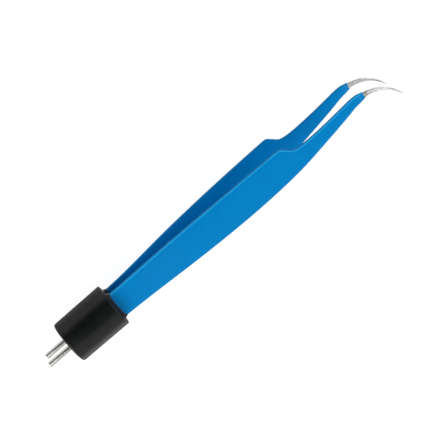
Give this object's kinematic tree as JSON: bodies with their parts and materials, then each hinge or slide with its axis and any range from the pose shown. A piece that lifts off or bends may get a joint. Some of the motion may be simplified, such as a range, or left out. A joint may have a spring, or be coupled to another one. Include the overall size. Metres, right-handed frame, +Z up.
{
  "type": "bipolar tweezers",
  "caption": "Curved fine-point tweezers: insulated steel spring arms cast into a round connector cap with contact pins at its rear.",
  "frame": {"origin": "middle of the bounding box in plan, on the surface that the tweezers lie on", "axes": "+X along the cap's axis from the contact pins to the tips, +Z up and square to the arms' broad faces, +Y towards the edge that has the shoulder, away from the side that the tips curve to"},
  "size_m": [0.1198, 0.013, 0.015],
  "materials": {
    "cap_black": "moulded, semi-matt black",
    "potting_black": "cast resin, glossy black",
    "coating_blue": "blue polyamide coating, satin gloss",
    "blade_steel": "fine satin ground stainless steel",
    "pin_plated": "turned and nickel plated",
    "ferrule_brass": "crimped, plain",
    "spacer_laminate": "cut phenolic laminate"
  },
  "bodies": {
    "connector": {"connector_cap": "cap_black", "potting": "potting_black", "tang_spacer": "spacer_laminate", "upper_tang": "blade_steel", "lower_tang": "blade_steel", "upper_pin": "pin_plated", "lower_pin": "pin_plated", "upper_ferrule": "ferrule_brass", "lower_ferrule": "ferrule_brass"},
    "upper_arm": {"upper_blade": "blade_steel", "upper_coating": "coating_blue"},
    "lower_arm": {"lower_blade": "blade_steel", "lower_coating": "coating_blue"}
  },
  "joints": [
    {"name": "upper_arm_flex", "type": "hinge", "parent": "connector", "child": "upper_arm", "pos_m": [-0.03501, 0, 0.00986], "axis": [0, 1, 0], "range_deg": [0, 4], "stiffness_Nm_per_rad": 1.2},
    {"name": "lower_arm_flex", "type": "hinge", "parent": "connector", "child": "lower_arm", "pos_m": [-0.03501, 0, 0.00514], "axis": [0, -1, 0], "range_deg": [0, 4], "stiffness_Nm_per_rad": 1.2}
  ]
}
